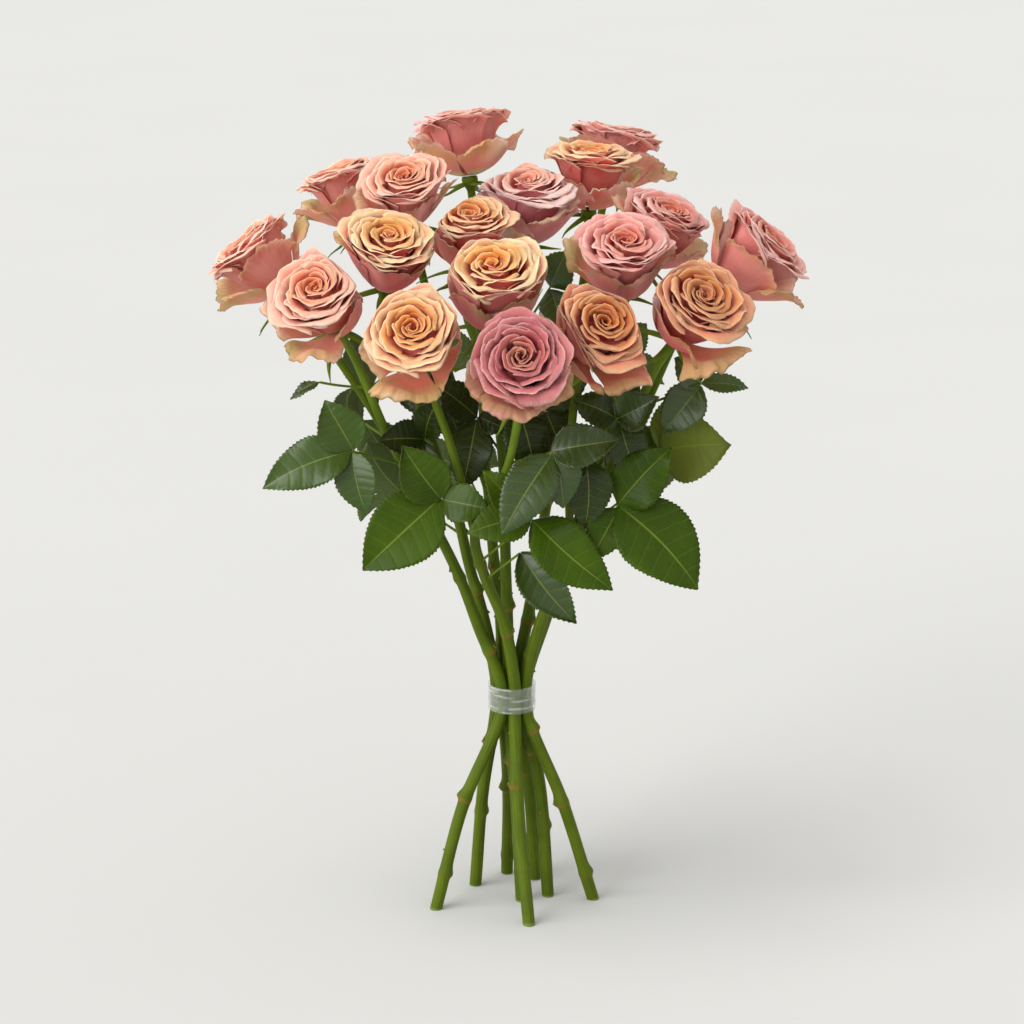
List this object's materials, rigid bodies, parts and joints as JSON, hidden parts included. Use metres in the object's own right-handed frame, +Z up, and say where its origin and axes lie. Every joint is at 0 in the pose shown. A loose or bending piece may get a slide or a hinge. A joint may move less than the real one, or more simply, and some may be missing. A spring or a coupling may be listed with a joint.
{
  "type": "tied bunch of cut roses",
  "caption": "Open roses on forked leafy green stems, held by a clear tie and standing on their splayed cut ends.",
  "frame": {"origin": "on the ground, under the middle of the bunch's box", "axes": "+Z up along the stems, -Y towards the front of the bunch"},
  "size_m": [0.3556, 0.292, 0.4861],
  "materials": {
    "petals_pink": "soft matte petal",
    "petals_peach": "soft matte petal",
    "petals_cream": "soft matte petal",
    "stem_and_leaf": "satin leaf and green stem",
    "tie": "clear film"
  },
  "bodies": {
    "root": {"tie_band": "tie", "stem_front": "stem_and_leaf", "stem_front_right": "stem_and_leaf", "stem_right": "stem_and_leaf", "stem_back_right": "stem_and_leaf", "stem_back": "stem_and_leaf", "stem_back_left": "stem_and_leaf", "stem_left": "stem_and_leaf", "stem_middle": "stem_and_leaf", "bloom_01": "petals_peach", "bloom_02": "petals_pink", "bloom_03": "petals_pink", "bloom_04": "petals_pink", "bloom_05": "petals_pink", "bloom_06": "petals_cream", "bloom_07": "petals_peach", "bloom_08": "petals_cream", "bloom_09": "petals_cream", "bloom_10": "petals_pink", "bloom_11": "petals_pink", "bloom_12": "petals_cream", "bloom_13": "petals_pink", "bloom_14": "petals_pink", "bloom_15": "petals_pink", "bloom_16": "petals_peach", "bloom_17": "petals_peach", "bloom_18": "petals_pink"}
  },
  "joints": []
}
